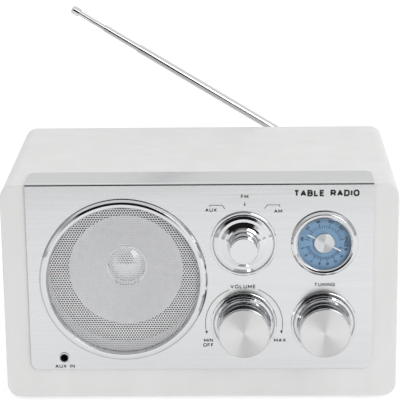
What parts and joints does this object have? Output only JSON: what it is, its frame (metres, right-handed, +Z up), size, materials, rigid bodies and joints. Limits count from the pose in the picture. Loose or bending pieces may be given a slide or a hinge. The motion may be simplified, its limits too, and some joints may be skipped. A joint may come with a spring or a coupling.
{
  "type": "tabletop radio",
  "caption": "Tabletop radio in a white wooden box with a brushed front plate, round speaker, chrome knobs, blue tuning dial and telescopic antenna.",
  "frame": {"origin": "on the table, below the middle of the whole radio with its knobs and antenna", "axes": "+Z up, the front faces -Y, +X to the right as the listener sees it"},
  "size_m": [0.21, 0.159, 0.1919],
  "materials": {
    "white_lacquer": "white lacquer over fibreboard, semi-gloss",
    "back_board": "white painted hardboard, matte",
    "raw_wood": "raw wood",
    "brushed_plate": "brushed along the width",
    "spun_aluminium": "spun, circular grain",
    "chrome": "polished",
    "grille_metal": "light grey, perforated",
    "foot_rubber": "matte black",
    "surround_rubber": "matte black",
    "cone_paper": "silver coated",
    "cap_metal": "bright",
    "coil_former": "brown former",
    "black_metal": "black painted",
    "zinc_steel": "zinc plated",
    "ferrite": "dark grey",
    "clear_lens": "clear",
    "blue_scale": "translucent blue with dark marks",
    "needle_paint": "white painted",
    "white_plastic": "moulded",
    "black_plastic": "moulded",
    "lamp_plastic": "clear bluish",
    "board_green": "solder mask",
    "can_sleeve": "dark blue sleeve",
    "copper": "enamelled copper wire",
    "nickel_brass": "nickel plated"
  },
  "bodies": {
    "cabinet": {"cabinet_sleeve": "white_lacquer", "front_baffle": "white_lacquer", "front_plate": "brushed_plate", "back_panel": "back_board", "corner_blocks": "raw_wood", "rubber_feet": "foot_rubber", "speaker_bezel": "chrome", "speaker_grille": "grille_metal", "speaker_frame": "black_metal", "speaker_surround": "surround_rubber", "speaker_cone": "cone_paper", "dust_cap": "cap_metal", "voice_coil": "coil_former", "speaker_top_plate": "zinc_steel", "speaker_magnet": "ferrite", "speaker_pole": "zinc_steel", "knob_rings": "chrome", "dial_bezel": "chrome", "dial_lens": "clear_lens", "dial_scale": "blue_scale", "dial_housing": "white_plastic", "dial_lamp": "lamp_plastic", "gear_plate": "zinc_steel", "idler_axle": "zinc_steel", "spacer_posts": "white_plastic", "main_board": "board_green", "volume_pot": "zinc_steel", "selector_switch": "black_plastic", "board_chips": "black_plastic", "filter_capacitors": "can_sleeve", "tuning_capacitor": "white_plastic", "ferrite_rod": "ferrite", "rod_winding": "copper", "rod_holders": "white_plastic", "power_inlet": "black_plastic", "inlet_pins": "nickel_brass", "transformer_core": "zinc_steel", "transformer_coil": "copper", "aux_jack": "black_plastic", "aux_nut": "chrome", "screws": "black_metal", "antenna_bush": "chrome"},
    "volume": {"volume_knob": "chrome", "volume_cap": "spun_aluminium", "volume_shaft": "zinc_steel"},
    "selector": {"selector_knob": "chrome", "selector_shaft": "zinc_steel"},
    "tuning": {"tuning_knob": "chrome", "tuning_cap": "spun_aluminium", "tuning_shaft": "zinc_steel"},
    "idler": {"idler_gear": "white_plastic"},
    "dial": {"dial_gear": "white_plastic", "dial_boss": "spun_aluminium", "dial_needle": "needle_paint"},
    "antenna_base": {"antenna_swivel": "chrome", "antenna_pin": "zinc_steel"},
    "antenna_outer": {"antenna_tube": "chrome"},
    "antenna_mid": {"antenna_middle": "chrome"},
    "antenna_end": {"antenna_rod": "chrome", "antenna_tip": "chrome"}
  },
  "joints": [
    {"name": "volume_turn", "type": "hinge", "parent": "cabinet", "child": "volume", "pos_m": [0.0232, -0.0635, 0.0443], "axis": [0, 1, 0], "range_deg": [-150, 150]},
    {"name": "selector_turn", "type": "hinge", "parent": "cabinet", "child": "selector", "pos_m": [0.0232, -0.0635, 0.0891], "axis": [0, 1, 0], "range_deg": [-30, 30]},
    {"name": "tuning_turn", "type": "hinge", "parent": "cabinet", "child": "tuning", "pos_m": [0.0658, -0.0635, 0.0443], "axis": [0, 1, 0], "range_deg": [-81, 459]},
    {"name": "idler_turn", "type": "hinge", "parent": "cabinet", "child": "idler", "pos_m": [0.0658, -0.0635, 0.0599], "axis": [0, 1, 0], "range_deg": [-355, 63]},
    {"name": "dial_turn", "type": "hinge", "parent": "cabinet", "child": "dial", "pos_m": [0.0658, -0.0635, 0.0891], "axis": [0, 1, 0], "range_deg": [-27.1, 153.1]},
    {"name": "antenna_swing", "type": "hinge", "parent": "cabinet", "child": "antenna_base", "pos_m": [0.066, 0.075, 0.1022], "axis": [0, 1, 0], "range_deg": [-31.75, 148.25]},
    {"name": "antenna_tilt", "type": "hinge", "parent": "antenna_base", "child": "antenna_outer", "pos_m": [0.066, 0.075, 0.1022], "axis": [-0.5262, 0, -0.8504], "range_deg": [0, 90]},
    {"name": "antenna_mid_slide", "type": "slide", "parent": "antenna_outer", "child": "antenna_mid", "axis": [-0.8504, 0, 0.5262], "range_m": [-0.0233, 0.074]},
    {"name": "antenna_end_slide", "type": "slide", "parent": "antenna_mid", "child": "antenna_end", "axis": [-0.8504, 0, 0.5262], "range_m": [-0.0164, 0.076]}
  ],
  "couplings": [
    {"joint": "idler_turn", "follows": "tuning_turn", "ratio": -0.77273},
    {"joint": "dial_turn", "follows": "tuning_turn", "ratio": 0.33333}
  ]
}
